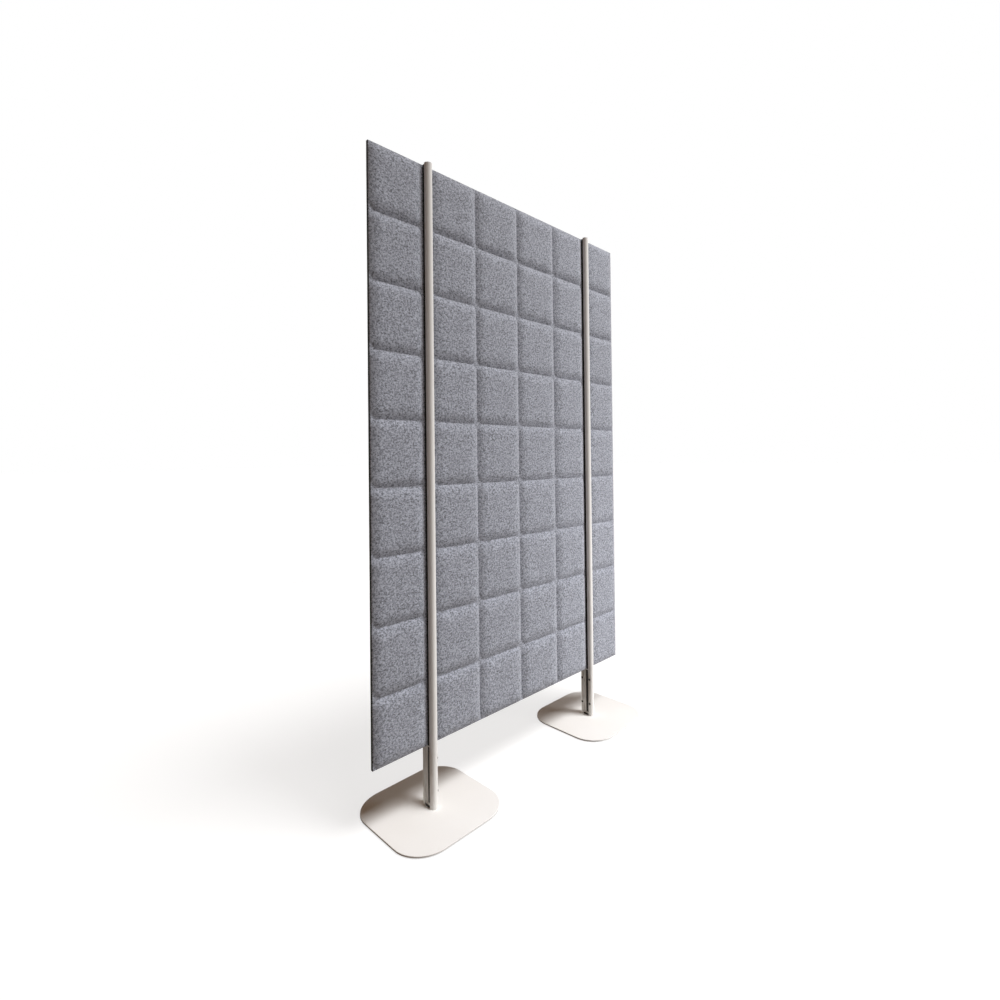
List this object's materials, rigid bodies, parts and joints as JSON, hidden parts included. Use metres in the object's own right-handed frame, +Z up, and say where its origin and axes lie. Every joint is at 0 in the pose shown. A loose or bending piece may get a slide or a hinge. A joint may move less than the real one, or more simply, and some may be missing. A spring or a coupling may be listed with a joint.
{
  "type": "acoustic divider screen",
  "caption": "Free-standing acoustic divider: a quilted grey felt panel clamped between pairs of light round-nosed bars, each pair standing on a thin square base plate",
  "frame": {"origin": "middle of the footprint, on the floor under the panel's mid-plane", "axes": "+X along the panel's width, +Z up, -Y the front face with the posts nearer the viewer"},
  "size_m": [1.2, 0.36, 2.004],
  "materials": {
    "felt": "pressed speckled grey polyester felt",
    "core_board": "dark pressed fibre board",
    "light_powder_coat": "fine satin powder coat, light grey",
    "bracket_powder_coat": "fine satin powder coat, light grey",
    "base_powder_coat": "fine satin powder coat, white",
    "light_plastic": "moulded matt plastic, light grey",
    "black_rubber": "matt black rubber",
    "pad_rubber": "matt black rubber sheet",
    "zinc_steel": "bright zinc plate",
    "black_steel": "black oxide"
  },
  "bodies": {
    "root": {"base_bolt_left": "zinc_steel", "base_bolt_right": "zinc_steel", "base_pad_left": "pad_rubber", "base_pad_right": "pad_rubber", "base_plate_left": "base_powder_coat", "base_plate_right": "base_powder_coat", "bracket_screws_left": "black_steel", "bracket_screws_right": "black_steel", "cap_front_left": "light_plastic", "cap_front_right": "light_plastic", "cap_rear_left": "light_plastic", "cap_rear_right": "light_plastic", "felt_front_skin": "felt", "felt_rear_skin": "felt", "foot_bracket_left": "bracket_powder_coat", "foot_bracket_right": "bracket_powder_coat", "gasket_front_left": "black_rubber", "gasket_front_right": "black_rubber", "gasket_rear_left": "black_rubber", "gasket_rear_right": "black_rubber", "panel_core": "core_board", "post_front_left": "light_powder_coat", "post_front_right": "light_powder_coat", "post_rear_left": "light_powder_coat", "post_rear_right": "light_powder_coat", "tie_barrels_left": "zinc_steel", "tie_barrels_right": "zinc_steel", "tie_screws_left": "zinc_steel", "tie_screws_right": "zinc_steel"}
  },
  "joints": []
}
